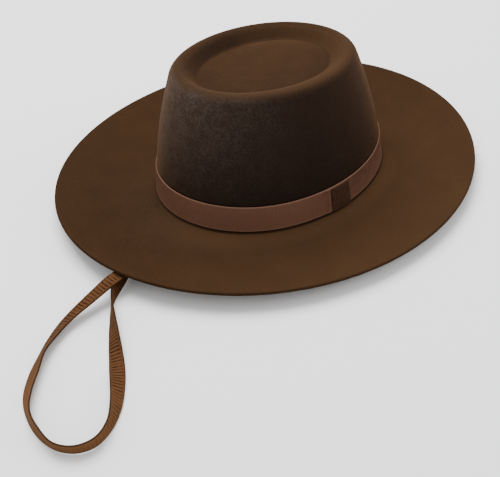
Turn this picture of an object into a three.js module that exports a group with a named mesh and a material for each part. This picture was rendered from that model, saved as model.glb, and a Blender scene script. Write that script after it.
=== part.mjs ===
// A gaucho hat: one piece of felt with a low telescope crown and a wide brim, a ribbon band with a
// darker keeper over its join, and a ribbed ribbon chin strap.
// Millimetres. +Z is up, the front of the hat faces -Y and its wearer's left is +X. The origin lies on
// the surface that the hat rests on, under the middle of the brim's outline. The hat rests on the flat
// ring round its head opening, and the loose strap lies on the same surface.

import * as THREE from 'three';

// Felt
const feltThickness = 2.2;

// Crown, outside: its foot where it leaves the brim, its shoulder, and its crest above the surface
const headLength = 208;
const headWidth = 172;
const shoulderLength = 164;
const shoulderWidth = 132.2;
const shoulderForward = 1.3; // how far the shoulder sits in front of the foot
const wallBulge = 3; // outwards, half way up the wall
const crownHeight = 101.6;
const crownFall = 6.6; // from the crest's front to its back
const crestOuterRadius = 9;

// Sunken top inside the crest
const topDepth = 9.5;
const topDome = 1.5;
const topSlope = 48; // degrees from the level
const crestInnerRadius = 9;
const topFootRadius = 4;

// Brim: its width, the rise of its edge above the ring at the ends and the sides, and how it curls up
const brimFront = 81.5;
const brimBack = 73;
const brimSide = 78;
const edgeRiseEnds = 14.5;
const edgeRiseSides = 9.9;
const brimCurl = 1.5; // power of the rise, 1 for a straight slope
const breakRadius = 1.8; // between the crown and the brim's upper face
const ringWidth = 8; // flat ring that the hat rests on

// Ribbon band and its keeper, both set off from the felt by a small gap
const gap = 0.35;
const bandHeight = 20.4;
const bandThickness = 0.8;
const keeperThickness = 0.9;
const keeperFrom = -13; // degrees round the crown from the wearer's left, minus towards the front
const keeperTo = -2.5;
const keeperBelowBandTop = 1.2;
const keeperPastBandFoot = 0.6;

// Ribbon chin strap
const strapWidth = 10.4;
const strapThickness = 1.2;
const strapRoom = 0.8; // spare height above the strap where it passes under the front of the ring
const archReach = 60; // degrees to each side of the front over which the ring rises to let it pass

// Fineness of the mesh
const turns = 80;
const strapStepsPerPoint = 2;

// The strap's route, a whole loop from its sewn end on the wearer's left to the one on the right.
// twist is in degrees, from the ribbon lying flat, about the way it runs.
const strapRoute = [
  { x: 79.5, y: 16, z: 22, twist: 98 },
  { x: 81, y: -1, z: 17.5, twist: 98 },
  { x: 77, y: -23, z: 8.8, twist: 97 },
  { x: 68, y: -44, z: 5.6, twist: 90 },
  { x: 52, y: -63, z: 5.6, twist: 85 },
  { x: 35, y: -76, z: 4.5, twist: 48 },
  { x: 22, y: -87, z: 1.5, twist: 5 },
  { x: 14, y: -99, z: 0.9, twist: 0 },
  { x: 13, y: -116, z: 0.8, twist: 0 },
  { x: 15, y: -140, z: 2.9, twist: 0 },
  { x: 18, y: -163, z: 8, twist: -2 },
  { x: 21, y: -183.5, z: 12.6, twist: -6 },
  { x: 21, y: -206, z: 9, twist: 5 },
  { x: 21.5, y: -227, z: 5, twist: 22 },
  { x: 26, y: -242, z: 3.9, twist: 35 },
  { x: 34, y: -257, z: 4.6, twist: 48 },
  { x: 43.5, y: -270, z: 4.2, twist: 38 },
  { x: 55, y: -282.5, z: 4.7, twist: 47 },
  { x: 70, y: -292, z: 5.5, twist: 74 },
  { x: 86, y: -296, z: 5.5, twist: 84 },
  { x: 101, y: -295.5, z: 5.5, twist: 101 },
  { x: 111.5, y: -289, z: 5.5, twist: 103 },
  { x: 116, y: -278.5, z: 5.5, twist: 98 },
  { x: 113, y: -266, z: 5.5, twist: 85 },
  { x: 104, y: -253.5, z: 5.2, twist: 57 },
  { x: 90.5, y: -241, z: 3.7, twist: 29 },
  { x: 75, y: -229, z: 1.7, twist: -9 },
  { x: 61.5, y: -219, z: 3.8, twist: -35 },
  { x: 46, y: -207.5, z: 5.1, twist: -60 },
  { x: 30, y: -194.5, z: 5.5, twist: -88 },
  { x: 17.5, y: -177, z: 5, twist: -127 },
  { x: 3.5, y: -153, z: 2.8, twist: -163 },
  { x: -5.5, y: -128, z: 1.1, twist: -180 },
  { x: -10, y: -105, z: 0.8, twist: -180 },
  { x: -21, y: -86, z: 1.7, twist: -188 },
  { x: -40, y: -70, z: 5.1, twist: -240 },
  { x: -62, y: -51, z: 5.6, twist: -268 },
  { x: -76.5, y: -24, z: 8.8, twist: -263 },
  { x: -81, y: -1, z: 17.5, twist: -262 },
  { x: -79.5, y: 16, z: 22, twist: -262 },
];

const felt = new THREE.MeshStandardMaterial({ color: 0x4e321e, roughness: 0.95, metalness: 0 });
const ribbon = new THREE.MeshStandardMaterial({ color: 0x693e32, roughness: 0.8, metalness: 0 });
const darkRibbon = new THREE.MeshStandardMaterial({ color: 0x4b3223, roughness: 0.8, metalness: 0 });
const strapRibbon = new THREE.MeshStandardMaterial({ color: 0x734628, roughness: 0.8, metalness: 0 });

const radians = THREE.MathUtils.degToRad;

// Middle of the crown's foot, and how far the middle of the whole outline lies in front of it
const footCentre = (brimFront - brimBack) / 2;
const footHeight = feltThickness + breakRadius;
const arch = strapThickness + strapRoom;

// The wall without its bulge leans in by this inset over this height. With the bulge they give how far
// the crest has turned from the level where it meets the wall.
const wallInset = ((headLength - shoulderLength) + (headWidth - shoulderWidth)) / 4;
const wallHeight = crownHeight - crestOuterRadius - footHeight;
const shoulderTurn = Math.PI / 2 - Math.atan2(wallInset + 4 * wallBulge, wallHeight);

/** Rise of the brim's edge above the ring at an angle round the hat: most at the front and back. */
function edgeRise(angle) {
  return edgeRiseSides + (edgeRiseEnds - edgeRiseSides) * Math.sin(angle) ** 2;
}

/** The ring's share of the arch over the strap: all of it at the front, none past the arch's reach. */
function archShare(angle) {
  const fromFront = Math.abs(Math.atan2(Math.cos(angle), -Math.sin(angle))) / radians(archReach);
  return fromFront < 1 ? Math.cos(fromFront * Math.PI / 2) ** 2 : 0;
}

/**
 * One oval section of the felt's outer face. The oval has half axes length and width and lies centre
 * along Y, and (out, up) is the face's normal, outwards and upwards. shape has its share of the edge's
 * rise, the steepness of that share, its share of the arch's lift and of the crown's fall to the back.
 */
function oval(length, width, centre, height, out, up, shape = {}) {
  return { length, width, centre, height, out, up, rise: 0, steepness: 0, lift: 0, fall: 0, ...shape };
}

/** A point of the felt at an angle round an oval, sunk by a depth below the outer face. */
function feltPoint(section, angle, depth) {
  const edge = edgeRise(angle);
  const out = section.out - section.steepness * edge;
  const sunk = depth / Math.hypot(out, section.up);
  const normal = new THREE.Vector2(section.length * Math.cos(angle), section.width * Math.sin(angle));
  normal.normalize().multiplyScalar(out * sunk);
  const backwards = section.length * Math.sin(angle);
  const height = section.height + section.rise * edge + section.lift * arch * archShare(angle)
    - section.fall * crownFall * backwards / (shoulderLength - 2 * crestOuterRadius);
  return new THREE.Vector3(
    section.width * Math.cos(angle) - normal.x,
    section.centre + backwards - normal.y,
    height - section.up * sunk,
  );
}

/** An oval of the crown's top, grown by a distance from the crest's oval, at a drop below the crest. */
function topOval(grown, drop, out, up) {
  return oval(
    shoulderLength / 2 - crestOuterRadius + grown, shoulderWidth / 2 - crestOuterRadius + grown,
    footCentre - shoulderForward, crownHeight - drop, out, up, { fall: 1 },
  );
}

/**
 * An oval on a rounding of the crown's top, where the face has turned from the level: outwards when
 * turned is positive. The rounding is level where it is grown from the crest's oval and dropped below
 * the crest, and its radius is negative where it is hollow.
 */
function rounded(radius, turned, grown = 0, drop = 0) {
  return topOval(
    grown + radius * Math.sin(turned), drop + radius * (1 - Math.cos(turned)),
    Math.sin(turned), Math.cos(turned),
  );
}

const shoulder = rounded(crestOuterRadius, shoulderTurn);

/** An oval of the crown's wall: share is 0 at its foot and 1 at the shoulder. */
function wallOval(share) {
  const bulge = 4 * wallBulge * share * (1 - share);
  const lean = Math.atan2(wallInset - 4 * wallBulge * (1 - 2 * share), wallHeight);
  return oval(
    THREE.MathUtils.lerp(headLength / 2, shoulder.length, share) + bulge,
    THREE.MathUtils.lerp(headWidth / 2, shoulder.width, share) + bulge,
    THREE.MathUtils.lerp(footCentre, shoulder.centre, share),
    THREE.MathUtils.lerp(footHeight, shoulder.height, share),
    Math.cos(lean), Math.sin(lean), { lift: 1 - share, fall: share },
  );
}

/** Flat ovals of the brim, from the crown's foot outwards: share is 0 at the crown and 1 at the edge. */
function brimOval(share, height, out, up, shape) {
  const middle = THREE.MathUtils.lerp(footCentre, 0, share);
  const length = headLength / 2 + share * (brimFront + brimBack) / 2;
  return oval(length, headWidth / 2 + share * brimSide, middle, height, out, up, shape);
}

/** The ovals of the felt's outer face, from the middle of the top to the brim's edge. */
function feltOvals() {
  const slope = radians(topSlope);
  const roundings = crestInnerRadius + topFootRadius;
  const straight = (topDepth - roundings * (1 - Math.cos(slope))) / Math.sin(slope);
  const footGrown = -roundings * Math.sin(slope) - straight * Math.cos(slope);

  const level = topOval(footGrown, topDepth, 0, 1);
  const top = [0.45, 0.8].map((share) => oval(
    level.length * share, level.width * share, level.centre, level.height + topDome * (1 - share ** 2),
    2 * topDome * share / level.width, 1, { fall: 1 },
  ));
  const foot = [0, 0.5, 1].map((share) => rounded(-topFootRadius, -slope * share, footGrown, topDepth));
  const inner = [1, 0.5, 0].map((share) => rounded(crestInnerRadius, -slope * share));
  const outer = [1 / 3, 2 / 3].map((share) => rounded(crestOuterRadius, shoulderTurn * share));
  const wall = [0.75, 0.5, 0.25, 0].map(wallOval);

  const breaks = [45, 90].map((degrees) => {
    const turn = radians(degrees);
    const share = breakRadius * (1 - Math.cos(turn)) / brimSide;
    const height = footHeight - breakRadius * Math.sin(turn);
    return brimOval(share, height, Math.cos(turn), Math.sin(turn), { lift: 1 });
  });
  const ringShare = (breakRadius + ringWidth) / brimSide;
  const brim = [0, 0.25, 0.5, 0.75, 1].map((along) => {
    const share = THREE.MathUtils.lerp(ringShare, 1, along);
    const steepness = brimCurl * along ** (brimCurl - 1) / (brimSide * (1 - ringShare));
    return brimOval(share, feltThickness, 0, 1, { rise: along ** brimCurl, steepness, lift: 1 - along });
  });
  return [...top, ...foot, ...inner, ...outer, shoulder, ...wall, ...breaks, ...brim];
}

/** A point on the crown's wall at an angle and a rise above its foot, moved level outwards. */
function wallPoint(angle, rise, outwards) {
  const share = rise / (feltPoint(shoulder, angle, 0).z - feltPoint(wallOval(0), angle, 0).z);
  const point = feltPoint(wallOval(share), angle, 0);
  const normal = new THREE.Vector2(headLength * Math.cos(angle), headWidth * Math.sin(angle));
  normal.normalize().multiplyScalar(outwards);
  point.x += normal.x;
  point.y += normal.y;
  return point;
}

/**
 * A closed solid through loops of points with as many points each. It closes on itself when ring is
 * true, and otherwise each end closes to its own tip, a point in the middle of the end loop.
 */
function skin(loops, { ring = false, tips = [] } = {}) {
  const size = loops[0].length;
  const points = loops.flat();
  const faces = [];
  const bands = ring ? loops.length : loops.length - 1;
  for (let i = 0; i < bands; i++) {
    const next = (i + 1) % loops.length;
    for (let j = 0; j < size; j++) {
      const k = (j + 1) % size;
      const [a, b, c, d] = [i * size + j, i * size + k, next * size + k, next * size + j];
      faces.push([a, b, c], [a, c, d]);
    }
  }
  if (!ring) {
    const last = (loops.length - 1) * size;
    for (let j = 0; j < size; j++) {
      const k = (j + 1) % size;
      faces.push([points.length, k, j], [points.length + 1, last + j, last + k]);
    }
    points.push(...tips);
  }
  const volume = faces.reduce((sum, [a, b, c]) => (
    sum + points[a].dot(new THREE.Vector3().crossVectors(points[b], points[c]))
  ), 0);
  const outward = volume > 0 ? faces : faces.map(([a, b, c]) => [a, c, b]);
  const geometry = new THREE.BufferGeometry();
  geometry.setAttribute('position', new THREE.Float32BufferAttribute(points.flatMap((p) => p.toArray()), 3));
  geometry.setIndex(outward.flat());
  geometry.computeVertexNormals();
  return geometry;
}

/** Mean of a loop's points, the tip that closes an end. */
function middle(loop) {
  const sum = loop.reduce((total, point) => total.add(point), new THREE.Vector3());
  return sum.divideScalar(loop.length);
}

/** Angles of the facets round the hat. */
function anglesRound() {
  return Array.from({ length: turns }, (_, i) => 2 * Math.PI * i / turns);
}

/** Crown and brim, one piece of felt: the outer face, then the inner one back to the middle of the top. */
function feltBody() {
  const loopAt = (depth) => (section) => anglesRound().map((angle) => feltPoint(section, angle, depth));
  const ovals = feltOvals();
  const outer = ovals.map(loopAt(0));
  const inner = ovals.map(loopAt(feltThickness)).reverse();
  const loops = [...outer, ...inner];
  const peak = new THREE.Vector3(0, footCentre - shoulderForward, crownHeight - topDepth + topDome);
  const under = peak.clone().setZ(peak.z - feltThickness);
  return skin(loops, { tips: [peak, under] });
}

/** The four corners of a ribbon wound round the crown, at an angle, between two rises above its foot. */
function wound(angle, low, high, inside, thickness) {
  return [
    wallPoint(angle, low, inside),
    wallPoint(angle, high, inside),
    wallPoint(angle, high, inside + thickness),
    wallPoint(angle, low, inside + thickness),
  ];
}

/** The ribbon band, a closed ring from the crown's foot upwards. */
function hatBand() {
  const loops = anglesRound().map((angle) => (
    wound(angle, 0, bandHeight, gap, bandThickness)
  ));
  return skin(loops, { ring: true });
}

/** The darker fold of ribbon over the band's join, on the wearer's left. */
function bandKeeper() {
  const steps = 4;
  const inside = gap + bandThickness + gap;
  const loops = Array.from({ length: steps + 1 }, (_, i) => {
    const angle = radians(THREE.MathUtils.lerp(keeperFrom, keeperTo, i / steps));
    return wound(angle, -keeperPastBandFoot, bandHeight - keeperBelowBandTop, inside, keeperThickness);
  });
  return skin(loops, { tips: [middle(loops[0]), middle(loops[steps])] });
}

/** The strap's section, a flat ribbon with bevelled edges, across and through it. */
function ribbonSection() {
  const half = strapWidth / 2;
  const bevel = strapThickness / 4;
  const corners = [[half - bevel, 2 * bevel], [half, bevel], [half, -bevel], [half - bevel, -2 * bevel]];
  return [...corners, ...corners.map(([across, through]) => [-across, -through])];
}

/** The chin strap: its section carried along the route, turned by the route's twist. */
function chinStrap() {
  const path = new THREE.CatmullRomCurve3(strapRoute.map(({ x, y, z }) => new THREE.Vector3(x, y, z)));
  const twists = new THREE.SplineCurve(strapRoute.map(({ twist }, i) => new THREE.Vector2(i, twist)));
  const steps = strapStepsPerPoint * (strapRoute.length - 1);
  const loops = Array.from({ length: steps + 1 }, (_, i) => {
    const centre = path.getPoint(i / steps);
    const along = path.getTangent(i / steps);
    const level = new THREE.Vector3(-along.y, along.x, 0).normalize();
    const across = level.applyAxisAngle(along, radians(twists.getPoint(i / steps).y));
    const through = new THREE.Vector3().crossVectors(along, across);
    return ribbonSection().map(([a, b]) => (
      centre.clone().addScaledVector(across, a).addScaledVector(through, b)
    ));
  });
  return skin(loops, { tips: [middle(loops[0]), middle(loops[steps])] });
}

/** A named mesh. */
function piece(name, geometry, material) {
  const mesh = new THREE.Mesh(geometry, material);
  mesh.name = name;
  return mesh;
}

const hat = new THREE.Group();
hat.add(
  piece('felt_body', feltBody(), felt),
  piece('hat_band', hatBand(), ribbon),
  piece('band_keeper', bandKeeper(), darkRibbon),
  piece('chin_strap', chinStrap(), strapRibbon),
);

export default hat;
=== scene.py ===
"""The looks of a gaucho hat, napped felt and ribbed ribbons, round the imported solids.

Metres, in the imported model's frame: +Z is up, the hat's front faces -Y and its wearer's left is +X.
The felt, band, keeper and strap are worked out from the same sizes as the solids that they stand for.
Angles round the hat run in radians from the wearer's left, at 0, over the back, at 1.57.
"""
import math

import bpy
import numpy as np
from mathutils import Matrix, Vector


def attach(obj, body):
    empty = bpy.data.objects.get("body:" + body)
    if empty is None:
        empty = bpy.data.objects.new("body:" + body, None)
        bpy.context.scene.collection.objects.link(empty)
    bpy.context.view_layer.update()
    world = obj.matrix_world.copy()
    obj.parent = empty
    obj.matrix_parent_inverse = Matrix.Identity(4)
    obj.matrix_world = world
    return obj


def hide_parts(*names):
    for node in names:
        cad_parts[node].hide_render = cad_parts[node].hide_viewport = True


MM = 0.001

# The photograph's view: degrees round, up and rolled, the point aimed at and metres from it, the lens
VIEW_ROUND, VIEW_UP, VIEW_ROLL = 45.08, 38.09, -4.19
VIEW_AIM, VIEW_DISTANCE = (0.05746, -0.08429, 0.004), 0.6
VIEW_LENS, FILM_WIDTH = 58.03, 36.0

# Felt, crown and brim, in millimetres and degrees
FELT = 2.2
HEAD_LENGTH, HEAD_WIDTH = 208.0, 172.0
SHOULDER_LENGTH, SHOULDER_WIDTH = 164.0, 132.2
SHOULDER_FORWARD = 1.3
WALL_BULGE = 3.0
CROWN_HEIGHT, CROWN_FALL = 101.6, 6.6
CREST_OUTER, CREST_INNER, TOP_FOOT = 9.0, 9.0, 4.0
TOP_DEPTH, TOP_DOME, TOP_SLOPE = 9.5, 1.5, 48.0
BRIM_FRONT, BRIM_BACK, BRIM_SIDE = 81.5, 73.0, 78.0
EDGE_RISE_ENDS, EDGE_RISE_SIDES, BRIM_CURL = 14.5, 9.9, 1.5
BREAK, RING = 1.8, 8.0
CUT_ROUNDING = 0.75
CREST_REACH = 1.6
ARCH_REACH = 60.0

# Ribbons, in millimetres. The slant is millimetres along for each one across.
RIBBON_OFF, EDGE_CHANGE = 0.1, 0.5
BAND_HEIGHT, BAND_SHOWN, BAND_EDGE = 20.4, 0.55, 0.9
BAND_RIB, BAND_SLANT, BAND_HOLLOW, BAND_RELIEF = 1.9, -0.22, 0.04, 0.12
KEEPER_HEIGHT, KEEPER_THICKNESS, KEEPER_EDGE = 19.1, 0.9, 0.8
KEEPER_PAST_FOOT, KEEPER_STANDS_OFF, KEEPER_LEAN = 0.6, 0.5, 0.55
STRAP_WIDTH, STRAP_THICKNESS, STRAP_ROOM = 10.4, 1.2, 0.8
STRAP_TRIM, STRAP_EDGE, STRAP_EDGE_SHADED, STRAP_RIB = 0.2, 1.5, 1.6, 2.7

# Shares of a ribbon's thickness that its grooves and its wear take away, of the strap's width that its
# ribs jut out, of the keeper's length that thins at each end, and of its thickness that is left there
KEEPER_RELIEF, STRAP_RELIEF, STRAP_WORN_RELIEF = 0.25, 0.36, 0.12
STRAP_SCALLOP, KEEPER_ENDS, KEEPER_END_THICKNESS = 0.012, 0.06, 0.35

# Where the keeper and the band's small fold are and how far the fold reaches, in degrees round the hat,
# and how far the fold stands out, in millimetres
KEEPER_FROM, KEEPER_TO = -13.0, -2.5
FOLD_AT, FOLD_REACH, FOLD_HEIGHT = 345.4, 1.1, 0.75

# Stretches that are paler, in millimetres along the ribbon: the middle, the reach, the whole length.
# The strap's is rubbed at the bottom of its loop, and the band's is painted light on its front.
# The strap's ribs are worn down by a share over a shorter reach.
LOOP_BOTTOM = 375.0
STRAP_RUBBED = (LOOP_BOTTOM, 88.0, 786.0)
BAND_PAINTED_LIGHT = (505.0, 95.0, 597.0)
RIBS_WORN, RIBS_WORN_REACH = 0.55, 50

# How many points go round the hat, along the keeper, across each ribbon's face and to a rib of the strap
FELT_ROUND, BAND_ROUND, KEEPER_LONG = 288, 1900, 73
BAND_ACROSS, KEEPER_ACROSS, STRAP_ACROSS = 15, 19, 17
STEPS_TO_A_RIB = 6

# The strap's route: x, y, z and its twist in degrees from lying flat
STRAP_ROUTE = np.array([
    (79.5, 16, 22, 98), (81, -1, 17.5, 98), (77, -23, 8.8, 97), (68, -44, 5.6, 90),
    (52, -63, 5.6, 85), (35, -76, 4.5, 48), (22, -87, 1.5, 5), (14, -99, 0.9, 0),
    (13, -116, 0.8, 0), (15, -140, 2.9, 0), (18, -163, 8, -2), (21, -183.5, 12.6, -6),
    (21, -206, 9, 5), (21.5, -227, 5, 22), (26, -242, 3.9, 35), (34, -257, 4.6, 48),
    (43.5, -270, 4.2, 38), (55, -282.5, 4.7, 47), (70, -292, 5.5, 74), (86, -296, 5.5, 84),
    (101, -295.5, 5.5, 101), (111.5, -289, 5.5, 103), (116, -278.5, 5.5, 98), (113, -266, 5.5, 85),
    (104, -253.5, 5.2, 57), (90.5, -241, 3.7, 29), (75, -229, 1.7, -9), (61.5, -219, 3.8, -35),
    (46, -207.5, 5.1, -60), (30, -194.5, 5.5, -88), (17.5, -177, 5, -127), (3.5, -153, 2.8, -163),
    (-5.5, -128, 1.1, -180), (-10, -105, 0.8, -180), (-21, -86, 1.7, -188), (-40, -70, 5.1, -240),
    (-62, -51, 5.6, -268), (-76.5, -24, 8.8, -263), (-81, -1, 17.5, -262), (-79.5, 16, 22, -262),
])

# Colours of the wool: its dark and light clouds, lit tufts, gaps between fibres, painted shade where the
# felt stands upright, its grey tips of dust and painted sheen, painted light, painted shade in the
# creases by the band, the cut edge, and its sheen
WOOL_DARK, WOOL_LIGHT = (0.0240, 0.0112, 0.0046, 1), (0.0323, 0.0152, 0.0064, 1)
WOOL_TUFT, WOOL_GAP = (0.0529, 0.0265, 0.0114, 1), (0.0129, 0.0054, 0.0020, 1)
WOOL_WALL_SHADE, WOOL_DUST_AND_SHEEN = (0.0093, 0.0055, 0.0043, 1), (0.0640, 0.0475, 0.0380, 1)
WOOL_PAINTED_LIGHT, WOOL_CREASE_SHADE = (0.0601, 0.0307, 0.0143, 1), (0.0050, 0.0026, 0.0014, 1)
WOOL_CUT, WOOL_SHEEN = (0.0100, 0.0046, 0.0020, 1), (0.90, 0.46, 0.20, 1)

# Colours of the ribbons: in the grooves, on the ribs, and a paler one for their tone and wear, which on
# the band is also painted light. Then the painted highlight on the band's woven edges and the ribbons'
# sheen.
BAND_COLOURS = (0.0380, 0.0168, 0.0101, 1), (0.1020, 0.0472, 0.0290, 1), (0.1450, 0.0692, 0.0432, 1)
KEEPER_COLOURS = (0.0240, 0.0112, 0.0068, 1), (0.0565, 0.0270, 0.0165, 1), (0.0760, 0.0385, 0.0235, 1)
STRAP_COLOURS = (0.0122, 0.0043, 0.0019, 1), (0.1040, 0.0435, 0.0162, 1), (0.1130, 0.0510, 0.0200, 1)
BAND_EDGE_HIGHLIGHT, RIBBON_SHEEN = (0.2216, 0.1216, 0.0801, 1), (0.9, 0.5, 0.3, 1)

# Scales of the felt's noises, for each metre, and heights of its nap and of the weaves, in metres
TUFTS, FIBRES, PATCHES, CLOUDS = 620.0, 2600.0, 110.0, 38.0
NAP_HEIGHT, GROSGRAIN_HEIGHT, STRAP_WEAVE_HEIGHT = 0.0007, 0.00025, 0.0002

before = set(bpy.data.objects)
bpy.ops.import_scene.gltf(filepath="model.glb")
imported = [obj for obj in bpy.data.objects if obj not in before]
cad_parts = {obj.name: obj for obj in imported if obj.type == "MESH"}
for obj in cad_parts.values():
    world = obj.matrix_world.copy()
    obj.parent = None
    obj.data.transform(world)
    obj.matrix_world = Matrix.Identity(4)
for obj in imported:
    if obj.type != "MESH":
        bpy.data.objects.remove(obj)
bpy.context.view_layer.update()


def aim_camera():
    """A camera 0.6 m from a point beside the brim's front, turned to the photograph's view."""
    azimuth, elevation, roll = (math.radians(a) for a in (VIEW_ROUND, VIEW_UP, VIEW_ROLL))
    back = Vector((
        math.sin(azimuth) * math.cos(elevation),
        -math.cos(azimuth) * math.cos(elevation),
        math.sin(elevation),
    ))
    right = (-back).cross(Vector((0, 0, 1))).normalized()
    up = right.cross(-back)
    level = math.cos(roll) * right + math.sin(roll) * up
    upright = math.cos(roll) * up - math.sin(roll) * right
    place = Vector(VIEW_AIM) + VIEW_DISTANCE * back
    lens = bpy.data.cameras.new("photo_view")
    lens.sensor_fit = "HORIZONTAL"
    lens.sensor_width = FILM_WIDTH
    lens.lens = VIEW_LENS
    lens.clip_start = 0.01
    camera = bpy.data.objects.new("photo_view", lens)
    turned = Matrix((level, upright, back)).transposed().to_4x4()
    camera.matrix_world = Matrix.Translation(place) @ turned
    bpy.context.collection.objects.link(camera)
    bpy.context.scene.camera = camera


def make_piece(name, loops, weave, ring=False):
    """A closed piece through loops of points, rows by points by xyz, in millimetres.

    Each loop closes on itself. The row of loops closes on itself too when ring is true, and otherwise
    each end closes to a pole in the middle of its loop. weave gives each corner's place on the cloth,
    along and across in millimetres, with one more column, and one more row on a ring.
    """
    rows, size = loops.shape[:2]
    points = loops.reshape(-1, 3)
    index = np.arange(rows * size).reshape(rows, size)
    index = np.concatenate([index, index[:, :1]], axis=1)
    if ring:
        index = np.concatenate([index, index[:1]], axis=0)

    def corners(grid):
        """The four corners of each cell of a grid, round the cell."""
        cells = [grid[:-1, :-1], grid[:-1, 1:], grid[1:, 1:], grid[1:, :-1]]
        return np.stack(cells, axis=2).reshape(-1, 4, *grid.shape[2:])

    quads, quad_weave = corners(index), corners(weave)
    caps, cap_weave = np.zeros((0, 3), int), np.zeros((0, 3, 2))
    if not ring:
        poles = np.stack([loops[0].mean(axis=0), loops[-1].mean(axis=0)])
        first, last = index[0], index[-1]
        caps = np.concatenate([
            np.stack([np.full(size, len(points)), first[1:], first[:-1]], axis=1),
            np.stack([np.full(size, len(points) + 1), last[:-1], last[1:]], axis=1),
        ])
        low, high = (np.broadcast_to(end.mean(axis=0), (size, 2)) for end in (weave[0], weave[-1]))
        cap_weave = np.concatenate([
            np.stack([low, weave[0, 1:], weave[0, :-1]], axis=1),
            np.stack([high, weave[-1, :-1], weave[-1, 1:]], axis=1),
        ])
        points = np.concatenate([points, poles])

    thirds = np.concatenate([quads[:, [0, 1, 2]], quads[:, [0, 2, 3]], caps])
    a, b, c = (points[thirds[:, k]] for k in range(3))
    if np.einsum("ij,ij->i", a, np.cross(b, c)).sum() < 0:
        quads, quad_weave = quads[:, ::-1], quad_weave[:, ::-1]
        caps, cap_weave = caps[:, ::-1], cap_weave[:, ::-1]

    mesh = bpy.data.meshes.new(name)
    mesh.vertices.add(len(points))
    mesh.vertices.foreach_set("co", (points * MM).ravel())
    mesh.loops.add(quads.size + caps.size)
    mesh.loops.foreach_set("vertex_index", np.concatenate([quads.ravel(), caps.ravel()]))
    starts = np.concatenate([np.arange(len(quads)) * 4, quads.size + np.arange(len(caps)) * 3])
    mesh.polygons.add(len(starts))
    mesh.polygons.foreach_set("loop_start", starts)
    mesh.polygons.foreach_set("use_smooth", np.ones(len(starts), bool))
    on_cloth = np.concatenate([quad_weave.reshape(-1, 2), cap_weave.reshape(-1, 2)])
    mesh.uv_layers.new(name="weave").uv.foreach_set("vector", on_cloth.ravel())
    mesh.update(calc_edges=True)
    mesh.validate()
    piece = bpy.data.objects.new(name, mesh)
    bpy.context.collection.objects.link(piece)
    return piece


def give_values(piece, name, values):
    """A named number at each point of a piece. The poles after them get the mean of the two ends."""
    values = values.ravel()
    poles = len(piece.data.vertices) - values.size
    layer = piece.data.attributes.new(name, "FLOAT", "POINT")
    layer.data.foreach_set("value", np.append(values, np.full(poles, values[[0, -1]].mean())))


def bell(away, reach):
    """1 in the middle and falling off as a bell, to a third a reach away."""
    return np.exp(-(away / reach) ** 2)


def strap_curve(places):
    """Points, directions and twists of the strap at places along its route, 0 to one less than its points.

    The points follow the centripetal spline and the twists the even one through four neighbours, both
    as cubic curves that start and end at two neighbours with slopes from the four.
    """
    route = STRAP_ROUTE
    step = np.clip(places.astype(int), 0, len(route) - 2)
    w = (places - step)[:, None]
    ends = np.concatenate([[2 * route[0] - route[1]], route, [2 * route[-1] - route[-2]]])
    p0, p1, p2, p3 = (ends[step + k, :3] for k in range(4))
    d0, d1, d2 = (
        np.linalg.norm(b - a, axis=1, keepdims=True) ** 0.5 for a, b in ((p0, p1), (p1, p2), (p2, p3))
    )
    leave = d1 * ((p1 - p0) / d0 - (p2 - p0) / (d0 + d1) + (p2 - p1) / d1)
    arrive = d1 * ((p2 - p1) / d1 - (p3 - p1) / (d1 + d2) + (p3 - p2) / d2)
    bend = 3 * (p2 - p1) - 2 * leave - arrive
    turn = 2 * (p1 - p2) + leave + arrive
    points = p1 + w * (leave + w * (bend + w * turn))
    along = leave + w * (2 * bend + 3 * w * turn)
    along /= np.linalg.norm(along, axis=1, keepdims=True)
    held = np.concatenate([[route[0]], route, [route[-1]]])[:, 3]
    t0, t1, t2, t3 = (held[step + k] for k in range(4))
    u = w[:, 0]
    v0, v1 = (t2 - t0) / 2, (t3 - t1) / 2
    twist = t1 + u * (v0 + u * (3 * (t2 - t1) - 2 * v0 - v1 + u * (2 * (t1 - t2) + v0 + v1)))
    return points, along, np.radians(twist)


def even_places(spacing):
    """Places along the strap's route a spacing in millimetres apart, and how far along each is."""
    fine = np.linspace(0, len(STRAP_ROUTE) - 1, 6000)
    points = strap_curve(fine)[0]
    far = np.append(0, np.cumsum(np.linalg.norm(np.diff(points, axis=0), axis=1)))
    along = np.linspace(0, far[-1], int(round(far[-1] / spacing)) + 1)
    return np.interp(along, far, fine), along


def ribbon_outline(width, thickness, fine):
    """A flat ribbon's section as a closed loop of points across and through it, its edges half round.

    The faces lie at half the thickness to each side, and each edge is a half circle of that radius.
    """
    radius = thickness / 2
    half = width / 2 - radius
    flat = np.linspace(half, -half, fine)
    turn = np.radians(np.linspace(90, 270, 9)[1:-1])
    face = np.full(fine, radius)
    across = np.concatenate([flat, -half + radius * np.cos(turn), -flat, half - radius * np.cos(turn)])
    through = np.concatenate([face, radius * np.sin(turn), -face, -radius * np.sin(turn)])
    return across, through


def between_edges(across, width, edge):
    """1 on a ribbon's ribbed middle and 0 on its woven edges, at places across it."""
    return np.clip((width / 2 - edge - np.abs(across)) / EDGE_CHANGE, 0, 1)


def rib_wave(along, across, pitch, length, slant, wander):
    """How high the weave stands at places on a ribbon, 0 in a groove and 1 on a rib, in millimetres.

    A rib is a power of a sine along the ribbon, with a pitch that goes evenly into its length. The ribs
    lean by the slant for each millimetre across, and slow sines crowd and part them by the wander.
    """
    turn = 2 * np.pi * along / length
    slow = np.sin(23 * turn + 0.9) + np.sin(9 * turn + 0.35 * across) + np.sin(47 * turn - 0.2 * across + 2.0)
    place = along + slant * across + wander / 3 * slow
    return np.abs(np.sin(np.pi * place * round(length / pitch) / length)) ** 1.2


def place_on_cloth(far, wide):
    """Each corner's millimetres along a ribbon and across it, where the first place across ends the row."""
    return np.stack(np.broadcast_arrays(far[:, None], np.append(wide, wide[0])[None, :]), axis=2)


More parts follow.
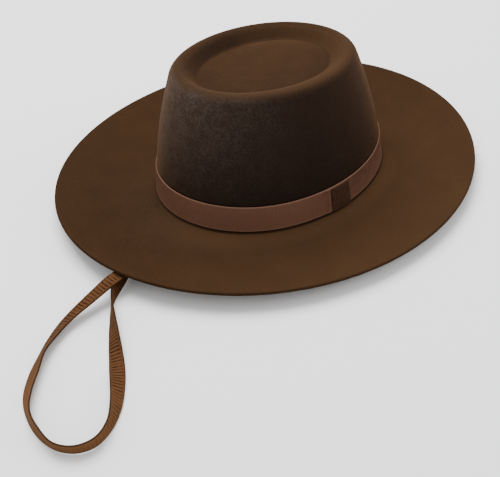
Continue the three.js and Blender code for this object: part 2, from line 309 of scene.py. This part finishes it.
def chin_strap():
    """The strap: a ribbon's section carried along the route, thicker at each rib and at its edges.

    Across is the level direction square to the way it runs, turned about that way by the twist. The
    ribs fade out at each woven edge, and are worn low round the bottom of the loop.
    """
    places, far = even_places(STRAP_RIB / STEPS_TO_A_RIB)
    centre, along, twist = strap_curve(places)
    level = np.stack([-along[:, 1], along[:, 0], 0 * along[:, 0]], axis=1)
    level /= np.linalg.norm(level, axis=1, keepdims=True)
    over = np.cross(along, level)
    across = level * np.cos(twist)[:, None] + over * np.sin(twist)[:, None]
    through = np.cross(along, across)
    wide, deep = ribbon_outline(STRAP_WIDTH - STRAP_TRIM, STRAP_THICKNESS, STRAP_ACROSS)
    middle = between_edges(wide, STRAP_WIDTH, STRAP_EDGE)[None, :]
    wear_and_painted_light = (1 - RIBS_WORN * bell(far - LOOP_BOTTOM, RIBS_WORN_REACH))[:, None]
    rib = rib_wave(far[:, None], wide[None, :], STRAP_RIB, far[-1], 0.0, 0.5) * wear_and_painted_light
    relief = 1 - STRAP_RELIEF * middle * (1 - rib) - STRAP_WORN_RELIEF * middle * (1 - wear_and_painted_light)
    scallop = 1 + STRAP_SCALLOP * (rib - 0.5) * (1 - middle)
    loops = (
        centre[:, None, :]
        + (wide[None, :] * scallop)[:, :, None] * across[:, None, :]
        + (deep[None, :] * relief)[:, :, None] * through[:, None, :]
    )
    piece = make_piece("ribbon_strap", loops, place_on_cloth(far, wide))
    give_values(piece, "rib", rib)
    return piece, centre


aim_camera()
strap, strap_middle = chin_strap()
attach(strap, "root")
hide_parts("chin_strap")


FOOT_CENTRE = (BRIM_FRONT - BRIM_BACK) / 2
FOOT_HEIGHT = FELT + BREAK
ARCH = STRAP_THICKNESS + STRAP_ROOM
WALL_INSET = ((HEAD_LENGTH - SHOULDER_LENGTH) + (HEAD_WIDTH - SHOULDER_WIDTH)) / 4
WALL_HEIGHT = CROWN_HEIGHT - CREST_OUTER - FOOT_HEIGHT
SHOULDER_TURN = math.pi / 2 - math.atan2(WALL_INSET + 4 * WALL_BULGE, WALL_HEIGHT)
RING_SHARE = (BREAK + RING) / BRIM_SIDE

SECTION = ("length", "width", "centre", "height", "out", "up", "rise", "steepness", "lift", "fall", "depth")


def sections(**values):
    """Oval sections of the felt as an array, one row each, of the values that SECTION names."""
    columns = np.broadcast_arrays(*(np.atleast_1d(values.get(name, 0.0)) for name in SECTION))
    return np.stack(columns, axis=1).astype(float)


def part_of(rows, name):
    """The value of that name in SECTION, for each section."""
    return rows[:, SECTION.index(name)]


def front_arch(angle):
    """How far the ring is lifted over the strap, 0 to 1: the square of a cosine over its reach in front."""
    from_front = np.abs(np.arctan2(np.cos(angle), -np.sin(angle))) / math.radians(ARCH_REACH)
    return np.where(from_front < 1, np.cos(np.minimum(from_front, 1) * np.pi / 2) ** 2, 0)


def crown_drop(fall, back):
    """How much lower the crown is, evenly to the back, at a share of its fall and millimetres back."""
    return fall * CROWN_FALL * back / (SHOULDER_LENGTH - 2 * CREST_OUTER)


def felt_points(rows, angles):
    """Points of the felt on each oval section at each angle round it.

    The oval's half axes are its width along X and its length along Y. The brim's edge rises most at
    the ends, by the square of the sine of the angle. The ring is arched at the front, and the crown
    falls evenly to the back. Each point is then sunk below the outer face by the section's depth,
    along the face's normal.
    """
    length, width, centre, height, out, up, rise, steepness, lift, fall, depth = rows.T[:, :, None]
    angle = angles[None, :]
    edge = EDGE_RISE_SIDES + (EDGE_RISE_ENDS - EDGE_RISE_SIDES) * np.sin(angle) ** 2
    leaning = out - steepness * edge
    sunk = depth / np.hypot(leaning, up)
    nx, ny = length * np.cos(angle), width * np.sin(angle)
    norm = np.hypot(nx, ny)
    back = length * np.sin(angle)
    z = height + rise * edge + lift * ARCH * front_arch(angle) - crown_drop(fall, back)
    return np.stack([
        width * np.cos(angle) - nx / norm * leaning * sunk,
        centre + back - ny / norm * leaning * sunk,
        z - up * sunk,
    ], axis=2)


def top_sections(grown, drop, out, up):
    """Ovals of the crown's top, grown by a distance from the crest's oval, at a drop below it."""
    return sections(
        length=SHOULDER_LENGTH / 2 - CREST_OUTER + grown, width=SHOULDER_WIDTH / 2 - CREST_OUTER + grown,
        centre=FOOT_CENTRE - SHOULDER_FORWARD, height=CROWN_HEIGHT - drop, out=out, up=up, fall=1,
    )


def rounded_sections(radius, turned, grown=0.0, drop=0.0):
    """Ovals on a rounding of the top, a circle of that radius, where the face has turned from level."""
    return top_sections(
        grown + radius * np.sin(turned), drop + radius * (1 - np.cos(turned)), np.sin(turned), np.cos(turned),
    )


SHOULDER = rounded_sections(CREST_OUTER, np.array([SHOULDER_TURN]))
SHOULDER_HALF_LENGTH, SHOULDER_HALF_WIDTH, SHOULDER_CENTRE, SHOULDER_HEIGHT = SHOULDER[0, :4]


def wall_sections(share):
    """Ovals of the crown's wall, from its foot at 0 to the shoulder at 1: straight, with a round bulge."""
    bulge = 4 * WALL_BULGE * share * (1 - share)
    lean = np.arctan2(WALL_INSET - 4 * WALL_BULGE * (1 - 2 * share), WALL_HEIGHT)
    return sections(
        length=HEAD_LENGTH / 2 + share * (SHOULDER_HALF_LENGTH - HEAD_LENGTH / 2) + bulge,
        width=HEAD_WIDTH / 2 + share * (SHOULDER_HALF_WIDTH - HEAD_WIDTH / 2) + bulge,
        centre=FOOT_CENTRE + share * (SHOULDER_CENTRE - FOOT_CENTRE),
        height=FOOT_HEIGHT + share * (SHOULDER_HEIGHT - FOOT_HEIGHT),
        out=np.cos(lean), up=np.sin(lean), lift=1 - share, fall=share,
    )


WALL_FOOT = wall_sections(np.zeros(1))


def brim_sections(share, **values):
    """Ovals of the brim, from the crown's foot at 0 to the edge at 1."""
    return sections(
        length=HEAD_LENGTH / 2 + share * (BRIM_FRONT + BRIM_BACK) / 2,
        width=HEAD_WIDTH / 2 + share * BRIM_SIDE,
        centre=FOOT_CENTRE * (1 - share), **values,
    )


def brim_rows(along, depth):
    """Ovals of the brim's curled face, from the ring at 0 to the edge at 1, sunk by a depth."""
    share = RING_SHARE + along * (1 - RING_SHARE)
    return brim_sections(
        share, height=FELT, up=1, rise=along ** BRIM_CURL,
        steepness=BRIM_CURL * along ** (BRIM_CURL - 1) / (BRIM_SIDE * (1 - RING_SHARE)),
        lift=1 - along, depth=depth,
    )


def felt_profile():
    """Sections of the felt from the top's middle over the crown and brim, round the cut edge and back.

    The top is a low dome, then a hollow rounding, a steep slope and the crest's rounding. The wall and
    the brim follow their own formulas, and the cut edge is square with rounded corners. The wall's
    sections lie closest together by the band's top edge, where its crease is shaded. Also gives 1 for
    each section of the cut edge and 0 for the others.
    """
    slope = math.radians(TOP_SLOPE)
    roundings = CREST_INNER + TOP_FOOT
    straight = (TOP_DEPTH - roundings * (1 - math.cos(slope))) / math.sin(slope)
    foot_grown = -roundings * math.sin(slope) - straight * math.cos(slope)
    level = top_sections(foot_grown, TOP_DEPTH, 0, 1)[0]
    share = np.linspace(0.03, 0.97, 16)
    top = sections(
        length=level[0] * share, width=level[1] * share, centre=level[2],
        height=level[3] + TOP_DOME * (1 - share ** 2), out=2 * TOP_DOME * share / level[1], up=1, fall=1,
    )
    foot = rounded_sections(-TOP_FOOT, -slope * np.linspace(0, 1, 8), foot_grown, TOP_DEPTH)
    inner = rounded_sections(CREST_INNER, -slope * np.linspace(1, 0, 8)[:-1])
    steep = foot[-1] + np.linspace(0, 1, 5)[1:-1, None] * (inner[0] - foot[-1])
    outer = rounded_sections(CREST_OUTER, SHOULDER_TURN * np.linspace(0, 1, 14)[:-1])
    wall = wall_sections(np.concatenate([
        np.linspace(1, 0.3, 28), np.linspace(0.29, 0.2, 26), np.linspace(0.18, 0, 8),
    ]))
    turn = np.radians(np.linspace(0, 90, 8)[1:])
    breaks = brim_sections(
        BREAK * (1 - np.cos(turn)) / BRIM_SIDE, height=FOOT_HEIGHT - BREAK * np.sin(turn),
        out=np.cos(turn), up=np.sin(turn), lift=1,
    )
    crown = np.concatenate([top, foot, steep, inner, outer, wall, breaks])
    rounding = CUT_ROUNDING / (BRIM_SIDE * (1 - RING_SHARE))
    brim = np.linspace(0, 1 - rounding, 40)
    turn = np.radians(np.linspace(0, 90, 5)[1:])
    cut_along = 1 - rounding * (1 - np.sin(turn))
    cut_depth = CUT_ROUNDING * (1 - np.cos(turn))
    upper = np.concatenate([brim_rows(brim, 0.0), brim_rows(cut_along, cut_depth)])
    lower = np.concatenate([brim_rows(cut_along, FELT - cut_depth)[::-1], brim_rows(brim, FELT)[::-1]])
    inside = crown[::-1].copy()
    inside[:, -1] = FELT
    cut = np.concatenate([np.zeros(len(crown) + len(brim)), np.ones(len(cut_along))])
    return np.concatenate([crown, upper, lower, inside]), np.concatenate([cut, cut[::-1]])


def wall_points(angle, rise, outwards):
    """Points on the crown's wall at angles and rises above its foot, moved level outwards.

    Each point lies on an oval of its own, whose share of the wall is the rise over the wall's own
    height at that angle.
    """
    around, out = angle.ravel(), outwards.ravel()
    high = felt_points(SHOULDER, around)[0, :, 2]
    low = felt_points(WALL_FOOT, around)[0, :, 2]
    rows = wall_sections(rise.ravel() / (high - low))
    length, width, centre, height = rows[:, :4].T
    back = length * np.sin(around)
    z = height + part_of(rows, "lift") * ARCH * front_arch(around) - crown_drop(part_of(rows, "fall"), back)
    nx, ny = HEAD_LENGTH * np.cos(around), HEAD_WIDTH * np.sin(around)
    norm = np.hypot(nx, ny)
    x = width * np.cos(around) + nx / norm * out
    y = centre + back + ny / norm * out
    return np.stack([x, y, z], axis=1).reshape(*angle.shape, 3)


def on_outside(rows):
    """Which sections lie on the felt's outer face."""
    return part_of(rows, "depth") < FELT / 2


def on_crown(rows):
    """Which sections lie on the crown's top, its crest or the highest tenth of its wall."""
    return part_of(rows, "fall") > 0.9


def on_brim(rows):
    """Which sections lie on the brim, on either face."""
    return (part_of(rows, "fall") == 0) & (part_of(rows, "height") <= FELT)


def brim_share(rows):
    """How far out each section lies on the brim, 0 at the crown's foot and 1 at the edge."""
    return (part_of(rows, "width") - HEAD_WIDTH / 2) / BRIM_SIDE


def by_crest(rows):
    """How near each section is to the crest's own height, as a bell."""
    return bell(part_of(rows, "height") - CROWN_HEIGHT, CREST_REACH) * on_crown(rows)


def towards(angles, centre):
    """1 at an angle round the hat, falling off as a cosine to 0 a quarter turn from it."""
    return np.clip(np.cos(angles - centre), 0, 1)[None, :]


def shade_by_band(loops, rows, angles):
    """How much painted shade each point gets in the creases above and below the band, 1 where it lies
    deepest.

    Above it falls off as a bell over 0.9 mm from just above the band's top edge, and below, where it
    is faint, as a bell over 1.6 mm from the crown's foot.
    """
    foot = felt_points(WALL_FOOT, angles)[0]
    top = wall_points(angles, np.full(len(angles), BAND_HEIGHT + 0.3), np.zeros(len(angles)))
    above = bell(loops[:, :, 2] - top[None, :, 2], 0.9) * (part_of(rows, "out") > 0.8)[:, None]
    below = 0.12 * bell(np.linalg.norm(loops - foot[None, :, :], axis=2), 1.6)
    return np.maximum(above, below) * on_outside(rows)[:, None]


def painted_light_places(rows, angles):
    """How much painted light lies on the nap of each section at each angle, making it paler: the most
    that any part gives.

    A part's painted light runs as a cosine round the hat. It is most on the wearer's left on the crest
    and the brim, with a little on the brim's right, most at the back on the sunken top's slope and its
    border, most at the front left round the crown's foot, where it lightens the shade there, and even at
    the cut edge, where it is a painted highlight. Across the sections it is a bell: 1.6 mm to each side
    of the crest's height, in from the border by 0.22 of the way to the middle, out from the foot by 0.26
    of the brim, and over 0.012 of the brim just inside its edge.
    """
    out = part_of(rows, "out")
    width, brim = part_of(rows, "width"), on_brim(rows)
    inner = on_crown(rows) & (width < SHOULDER_WIDTH / 2 - CREST_OUTER)
    middle = inner & (out >= 0)
    slope = np.clip((-out - 0.2) / 0.4, 0, 1) * inner
    border = middle * bell(1 - width / width[middle].max(), 0.22)
    by_foot = bell(brim_share(rows), 0.26) * brim
    edge = bell(brim_share(rows) - 0.983, 0.012) * brim

    def spread(parts, centre, least, most):
        """Painted light on some sections, most at an angle round the hat and least across from it, never
        below 0.
        """
        return parts[:, None] * np.clip(least + (most - least) * np.cos(angles - centre), 0, 1.1)[None, :]

    return np.max([
        spread(by_crest(rows), 0.05, 0.17, 0.48), spread(slope, 1.4, 0.05, 0.62),
        spread(border, 2.1, -0.5, 0.45), spread(brim, 0.3, 0.07, 0.46), spread(brim, 3.3, -0.15, 0.2),
        spread(by_foot, -0.4, 0.0, 1.5), spread(edge, 0.0, 0.2, 0.2),
    ], axis=0)


def painted_wall_shade(rows, angles):
    """How much painted shade darkens the nap where the felt stands upright.

    It goes by a power of how far the face looks outwards or inwards. On the outside it is most at the
    front left, and on the sunken top's slope on the wearer's right.
    """
    out = part_of(rows, "out")
    upright = np.abs(out) ** 1.5 * (part_of(rows, "height") > FELT) * on_outside(rows)
    shade_out = 0.3 + 0.7 * towards(angles, -0.65)
    shade_in = 0.1 + 0.7 * towards(angles, 3.3) ** 3
    return upright[:, None] * np.where((out > 0)[:, None], shade_out, shade_in)


def dusty_and_sheen_nap(rows, angles):
    """How grey the tips of the nap are, partly with dust and partly with painted sheen.

    The wall's grey grows with height and is most in front, a little to the wearer's right. The crest
    and the sunken top have a little, and so has the brim round the front of the crown's foot.
    """
    high = np.clip((part_of(rows, "height") - FOOT_HEIGHT) / WALL_HEIGHT, 0, 1) ** 1.2
    wall = 0.08 + 0.92 * high[:, None] * towards(angles, -1.75) ** 2
    wall = wall * np.clip((part_of(rows, "out") - 0.15) / 0.6, 0, 1)[:, None]
    front = towards(angles, -1.1)
    top = (0.07 + 0.2 * by_crest(rows)[:, None] * front) * (on_crown(rows) & on_outside(rows))[:, None]
    brim = on_brim(rows) & on_outside(rows)
    return np.maximum(wall, top) + 0.18 * (brim * bell(brim_share(rows), 0.38))[:, None] * front


def felt_piece():
    """Crown and brim, one piece of felt: the profile's sections at even angles round the hat."""
    rows, cut = felt_profile()
    angles = np.linspace(0, 2 * np.pi, FELT_ROUND, endpoint=False)
    loops = felt_points(rows, angles)
    piece = make_piece("felt_shell", loops, np.zeros((len(rows), len(angles) + 1, 2)))
    give_values(piece, "cut_edge", np.repeat(cut, len(angles)))
    # Painted light on the crest, the sunken top, the brim and round the crown's foot
    give_values(piece, "wear_and_painted_light", painted_light_places(rows, angles) * on_outside(rows)[:, None])
    # Painted shade on the upright wall and on the sunken top's slope
    give_values(piece, "upright", painted_wall_shade(rows, angles))
    # Grey nap tips: dust and painted sheen
    give_values(piece, "dust_and_sheen", dusty_and_sheen_nap(rows, angles))
    # Painted shade in the creases by the band
    give_values(piece, "by_band", shade_by_band(loops, rows, angles))
    return piece


felt = felt_piece()
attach(felt, "root")
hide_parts("felt_body")


def hat_band():
    """The ribbon band: its section wound round the crown's foot, thicker at each rib and at its edges.

    The section runs up the wall, with half round edges. The outer face is a little hollow between
    the woven edges, and stands out in a round fold just in front of the keeper.
    """
    wide, deep = ribbon_outline(BAND_HEIGHT, BAND_SHOWN, BAND_ACROSS)
    angles = np.linspace(0, 2 * np.pi, BAND_ROUND, endpoint=False)
    outside = deep > 0
    angle, rise = np.meshgrid(angles, wide + BAND_HEIGHT / 2, indexing="ij")
    round_it = np.append(angles, 2 * np.pi)
    ellipse = np.hypot(HEAD_WIDTH / 2 * np.sin(round_it), HEAD_LENGTH / 2 * np.cos(round_it))
    far = np.append(0, np.cumsum((ellipse[1:] + ellipse[:-1]) / 2 * np.diff(round_it)))
    rib = rib_wave(far[:-1, None], wide[None, :], BAND_RIB, far[-1], BAND_SLANT, 0.9)
    hollow = (between_edges(wide, BAND_HEIGHT, BAND_EDGE) * outside)[None, :]
    fold = FOLD_HEIGHT * bell(np.degrees(angles) - FOLD_AT, FOLD_REACH)
    outwards = RIBBON_OFF + BAND_SHOWN / 2 + np.broadcast_to(deep, angle.shape)
    outwards = outwards - (BAND_HOLLOW + BAND_RELIEF * (1 - rib)) * hollow
    outwards = outwards + fold[:, None] * outside[None, :]
    loops = wall_points(angle, rise, outwards)
    piece = make_piece("grosgrain_band", loops, place_on_cloth(far, wide), ring=True)
    give_values(piece, "rib", rib)
    return piece


def band_keeper():
    """The keeper: a flat fold of ribbon over the band's join, rounded at its front and back edges.

    Its half round edged section is carried round the wall, thins to a third at both ends by a circle's
    arc, and leans in slightly towards the front edge, where the band's fold stands in front of it.
    """
    share = np.linspace(0, 1, KEEPER_LONG)
    angles = np.radians(KEEPER_FROM + (KEEPER_TO - KEEPER_FROM) * share)
    wide, deep = ribbon_outline(KEEPER_HEIGHT, KEEPER_THICKNESS, KEEPER_ACROSS)
    angle, rise = np.meshgrid(angles, wide + KEEPER_HEIGHT / 2 - KEEPER_PAST_FOOT, indexing="ij")
    past_end = (1 - np.minimum(share, 1 - share) / KEEPER_ENDS).clip(0)
    full = np.sqrt(np.clip(1 - past_end ** 2, 0, 1))
    ends = KEEPER_END_THICKNESS + (1 - KEEPER_END_THICKNESS) * full
    far = (angles - angles[0]) * HEAD_LENGTH / 2
    rib = rib_wave(far[:, None], wide[None, :], BAND_RIB, far[-1], 0.0, 0.0)
    relief = 1 - KEEPER_RELIEF * between_edges(wide, KEEPER_HEIGHT, KEEPER_EDGE)[None, :] * (1 - rib)
    over_band = RIBBON_OFF + BAND_SHOWN + RIBBON_OFF + KEEPER_THICKNESS / 2
    lean = KEEPER_LEAN * (1 - share) ** 2
    outwards = over_band + deep[None, :] * ends[:, None] * relief + KEEPER_STANDS_OFF - lean[:, None]
    loops = wall_points(angle, rise, outwards)
    piece = make_piece("folded_keeper", loops, place_on_cloth(far, wide))
    give_values(piece, "rib", rib)
    return piece


band = hat_band()
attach(band, "root")
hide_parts("hat_band")
keeper = band_keeper()
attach(keeper, "root")
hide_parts("band_keeper")


class Wiring:
    """Adds shader nodes to one tree and joins them."""

    def __init__(self, tree):
        self.tree = tree

    def add(self, kind, joined=None, **settings):
        """A node of a kind, with settings on it and values or other nodes' outputs on its inputs."""
        node = self.tree.nodes.new(kind)
        for name, value in settings.items():
            setattr(node, name, value)
        for name, value in (joined or {}).items():
            if isinstance(value, bpy.types.NodeSocket):
                self.tree.links.new(value, node.inputs[name])
            else:
                node.inputs[name].default_value = value
        return node

    def given(self, name):
        """The number of that name that give_values put on the mesh."""
        return self.add("ShaderNodeAttribute", attribute_name=name).outputs["Fac"]

    def math(self, operation, a, b=0.0, c=0.0):
        """One sum on numbers or outputs."""
        return self.add("ShaderNodeMath", {0: a, 1: b, 2: c}, operation=operation).outputs[0]

    def noise(self, where, scale, detail=2.0, roughness=0.5):
        """Soft noise of a scale per metre, 0 to 1."""
        joined = {"Vector": where, "Scale": scale, "Detail": detail, "Roughness": roughness}
        return self.add("ShaderNodeTexNoise", joined).outputs["Fac"]

    def blend(self, share, dark, light):
        """A colour between two by a share."""
        node = self.add("ShaderNodeMix", {0: share, 6: dark, 7: light}, data_type="RGBA")
        return node.outputs[2]

    def lay_over(self, colour, share, most, other):
        """A colour with another laid over it, by a share of at most that much."""
        return self.blend(self.math("MULTIPLY", share, most), colour, other)

    def stretch(self, value, low, high, to_low=0.0, to_high=1.0):
        """A number moved from one range to another, and held inside it."""
        joined = {"Value": value, "From Min": low, "From Max": high, "To Min": to_low, "To Max": to_high}
        return self.add("ShaderNodeMapRange", joined).outputs["Result"]


def empty_material(name):
    """A new material with no nodes yet, and the wiring of its tree."""
    material = bpy.data.materials.new(name)
    material.use_nodes = True
    material.node_tree.nodes.clear()
    return material, Wiring(material.node_tree)


def ribbon_weave():
    """A group for ribbed ribbon: the shade and height of its ribs, woven edges, threads and fuzz.

    Place is millimetres along and across the ribbon. The ribs are numbers on the mesh, which fade out
    near the woven edges here, and fine threads run along the ribbon over them.
    """
    group = bpy.data.node_groups.new("ribbon weave", "ShaderNodeTree")
    face = group.interface
    face.new_socket("Place", in_out="INPUT", socket_type="NodeSocketVector")
    for name in ("Half width", "Edge"):
        face.new_socket(name, in_out="INPUT", socket_type="NodeSocketFloat")
    for name in ("Ribs", "Height", "Threads", "Tone", "Outline"):
        face.new_socket(name, in_out="OUTPUT", socket_type="NodeSocketFloat")
    w = Wiring(group)
    source = w.add("NodeGroupInput").outputs

    def woven(along, across, detail, roughness):
        """Noise drawn out by scales along and across the ribbon."""
        drawn = {0: source["Place"], 1: (along, across, 1.0)}
        scaled = w.add("ShaderNodeVectorMath", drawn, operation="MULTIPLY").outputs[0]
        return w.noise(scaled, 1.0, detail, roughness)

    across = w.add("ShaderNodeSeparateXYZ", {0: source["Place"]}).outputs[1]
    to_edge = w.math("SUBTRACT", source["Half width"], w.math("ABSOLUTE", across))
    inner = w.stretch(w.math("DIVIDE", to_edge, source["Edge"]), 0.8, 1.2)
    edge = w.math("SUBTRACT", 1.0, inner)
    ribs = w.math("MULTIPLY", w.given("rib"), inner)
    threads = woven(0.9, 6.0, 2.0, 0.6)
    fuzz = woven(3.0, 3.0, 3.0, 0.7)
    height = w.math("MULTIPLY", w.math("MULTIPLY_ADD", edge, 0.75, ribs), 0.6)
    height = w.math("MULTIPLY_ADD", w.math("ADD", threads, fuzz), 0.3, height)
    tone = w.math("ADD", woven(0.09, 0.25, 3.0, 0.55), woven(0.5, 0.14, 2.0, 0.6))
    w.add("NodeGroupOutput", {
        "Ribs": w.math("MULTIPLY_ADD", edge, 0.6, ribs), "Height": height,
        "Threads": w.math("MULTIPLY", w.math("ADD", threads, fuzz), 0.5),
        "Tone": w.math("MULTIPLY", tone, 0.5), "Outline": w.stretch(to_edge, 0.9, 0.3),
    })
    return group


WEAVE = ribbon_weave()


def ribbon_material(name, colours, width, edge, relief, edge_highlight=None, paler_stretch=None):
    """A ribbed ribbon: its colours in the grooves, on the ribs and where it is paler, and its relief.

    edge_highlight is the colour of a painted highlight on its woven edges, the upper one most, and with
    it the lower half of such a ribbon gets a little painted light. paler_stretch is the middle and the
    reach of a stretch that is paler all over, and the ribbon's length, all in millimetres along it.
    """
    dark, light, wear_and_painted_light = colours
    half_width = width / 2
    material, w = empty_material(name)
    place = w.add("ShaderNodeUVMap", uv_map="weave").outputs[0]
    cloth = {"Place": place, "Half width": half_width, "Edge": edge}
    out = w.add("ShaderNodeGroup", cloth, node_tree=WEAVE).outputs
    colour = w.blend(w.stretch(out["Ribs"], 0.2, 0.85), dark, light)
    colour = w.blend(w.stretch(out["Tone"], 0.42, 0.62, 0.0, 0.6), colour, wear_and_painted_light)
    colour = w.blend(w.stretch(out["Threads"], 0.35, 0.65, 0.45, 0.0), colour, dark)
    # A paler stretch: rubbed on the strap, painted light on the band
    if paler_stretch:
        middle, reach, length = paler_stretch
        along = w.add("ShaderNodeSeparateXYZ", {0: place}).outputs[0]
        away = w.math("PINGPONG", w.math("SUBTRACT", along, middle), length / 2)
        colour = w.blend(w.stretch(away, reach, reach * 0.4, 0.0, 0.75), colour, wear_and_painted_light)
    if edge_highlight:
        across = w.add("ShaderNodeSeparateXYZ", {0: place}).outputs[1]
        # Painted highlight along the top woven edge, and a fainter one along the lower
        top_edge_highlight = w.stretch(across, half_width - edge - 0.3, half_width - edge + 0.2, 0.0, 0.6)
        low = w.stretch(across, -half_width + edge + 0.3, -half_width + edge - 0.2, 0.0, 0.5)
        # Painted light on the lower half of the band
        colour = w.blend(w.stretch(across, 0.6 * half_width, -0.7 * half_width, 0.0, 0.5), colour, wear_and_painted_light)
        colour = w.blend(w.math("ADD", top_edge_highlight, low), colour, edge_highlight)
    else:
        colour = w.lay_over(colour, out["Outline"], 0.7, dark)
    bump = w.add("ShaderNodeBump", {"Height": out["Height"], "Strength": 0.8, "Distance": relief})
    shader = w.add("ShaderNodeBsdfPrincipled", {
        "Base Color": colour, "Roughness": w.stretch(out["Threads"], 0.3, 0.7, 0.7, 0.9),
        "Normal": bump.outputs[0], "Sheen Weight": 0.04, "Sheen Roughness": 0.4,
        "Sheen Tint": RIBBON_SHEEN, "Specular IOR Level": 0.03,
    })
    w.add("ShaderNodeOutputMaterial", {"Surface": shader.outputs[0]})
    return material


def felt_material():
    """Napped wool felt: short fibres in tufts about 1 mm across, over cloudy tones.

    Over them lie, in this order, painted shade on the upright wall, its grey tips of dust and painted
    sheen, painted light, painted shade in the creases by the band and the dark cut edge, each by its
    number on the mesh.
    """
    material, w = empty_material("brown felt")
    place = w.add("ShaderNodeTexCoord").outputs["Object"]
    tufts = w.noise(place, TUFTS, 3.0, 0.62)
    fibres = w.noise(place, FIBRES, 3.0, 0.7)
    patches = w.noise(place, PATCHES, 3.0, 0.6)
    clouds = w.noise(place, CLOUDS, 4.0, 0.6)
    colour = w.blend(w.stretch(clouds, 0.3, 0.7), WOOL_DARK, WOOL_LIGHT)
    colour = w.blend(w.stretch(tufts, 0.5, 0.75, 0.0, 0.5), colour, WOOL_TUFT)
    colour = w.blend(w.stretch(fibres, 0.52, 0.3, 0.0, 0.5), colour, WOOL_GAP)
    # Painted shade where the felt stands upright
    colour = w.lay_over(colour, w.given("upright"), 0.85, WOOL_WALL_SHADE)
    lit_tufts = w.stretch(tufts, 0.32, 0.68, 0.25, 1.0)
    tips = w.math("MULTIPLY", lit_tufts, w.stretch(patches, 0.35, 0.65, 0.6, 1.0))
    # Grey tips of dust and painted sheen
    colour = w.blend(w.math("MULTIPLY", tips, w.given("dust_and_sheen")), colour, WOOL_DUST_AND_SHEEN)
    # Painted light laid over the felt's colour
    colour = w.lay_over(colour, w.given("wear_and_painted_light"), 0.85, WOOL_PAINTED_LIGHT)
    # Painted shade in the creases by the band
    colour = w.lay_over(colour, w.given("by_band"), 0.75, WOOL_CREASE_SHADE)
    colour = w.lay_over(colour, w.given("cut_edge"), 0.35, WOOL_CUT)
    nap = w.math("MULTIPLY_ADD", fibres, 0.5, tufts)
    bump = w.add("ShaderNodeBump", {"Height": nap, "Strength": 0.55, "Distance": NAP_HEIGHT})
    shader = w.add("ShaderNodeBsdfPrincipled", {
        "Base Color": colour, "Roughness": w.stretch(tufts, 0.3, 0.7, 0.85, 1.0), "Normal": bump.outputs[0],
        "Sheen Weight": 0.12, "Sheen Roughness": 0.28, "Sheen Tint": WOOL_SHEEN,
        "Specular IOR Level": 0.04,
    })
    w.add("ShaderNodeOutputMaterial", {"Surface": shader.outputs[0]})
    return material


felt.data.materials.append(felt_material())
band.data.materials.append(ribbon_material(
    "band grosgrain", BAND_COLOURS, BAND_HEIGHT, BAND_EDGE, GROSGRAIN_HEIGHT,
    edge_highlight=BAND_EDGE_HIGHLIGHT, paler_stretch=BAND_PAINTED_LIGHT,
))
keeper.data.materials.append(ribbon_material(
    "keeper grosgrain", KEEPER_COLOURS, KEEPER_HEIGHT, KEEPER_EDGE, GROSGRAIN_HEIGHT,
))
strap.data.materials.append(ribbon_material(
    "strap ribbon", STRAP_COLOURS, STRAP_WIDTH, STRAP_EDGE_SHADED, STRAP_WEAVE_HEIGHT, paler_stretch=STRAP_RUBBED,
))


def plain_floor():
    """A pale floor, 4 m square, just under what rests on it."""
    half, drop = 2, 0.0002
    corners = [(-half, -half, -drop), (half, -half, -drop), (half, half, -drop), (-half, half, -drop)]
    mesh = bpy.data.meshes.new("floor")
    mesh.from_pydata(corners, [], [(0, 1, 2, 3)])
    floor = bpy.data.objects.new("floor", mesh)
    bpy.context.collection.objects.link(floor)
    material = bpy.data.materials.new("pale floor")
    material.use_nodes = True
    shader = material.node_tree.nodes["Principled BSDF"]
    shader.inputs["Base Color"].default_value = (0.93, 0.93, 0.93, 1)
    shader.inputs["Roughness"].default_value = 0.9
    mesh.materials.append(material)


def soft_light(name, place, aim, size, power):
    """A square soft light at a place, turned to a point, in metres and watts."""
    light = bpy.data.lights.new(name, "AREA")
    light.size = size
    light.energy = power
    lamp = bpy.data.objects.new(name, light)
    lamp.location = place
    lamp.rotation_euler = (Vector(aim) - Vector(place)).to_track_quat("-Z", "Y").to_euler()
    bpy.context.collection.objects.link(lamp)


def pale_surround(strength):
    """Even white light from all round."""
    world = bpy.data.worlds.new("studio")
    world.use_nodes = True
    background = world.node_tree.nodes["Background"].inputs
    background[0].default_value = (1, 1, 1, 1)
    background[1].default_value = strength
    bpy.context.scene.world = world


plain_floor()
soft_light("above", (-0.5, 0.20, 1.4), (0.0, -0.05, 0.04), 1.2, 42)
soft_light("left", (-1.2, -0.9, 0.7), (0.0, -0.05, 0.06), 0.9, 2)
soft_light("front", (1.0, -0.6, 0.9), (0.0, -0.05, 0.06), 0.9, 2.5)
soft_light("right", (1.2, 0.9, 0.8), (0.1, -0.05, 0.0), 0.9, 6.5)
pale_surround(0.91)
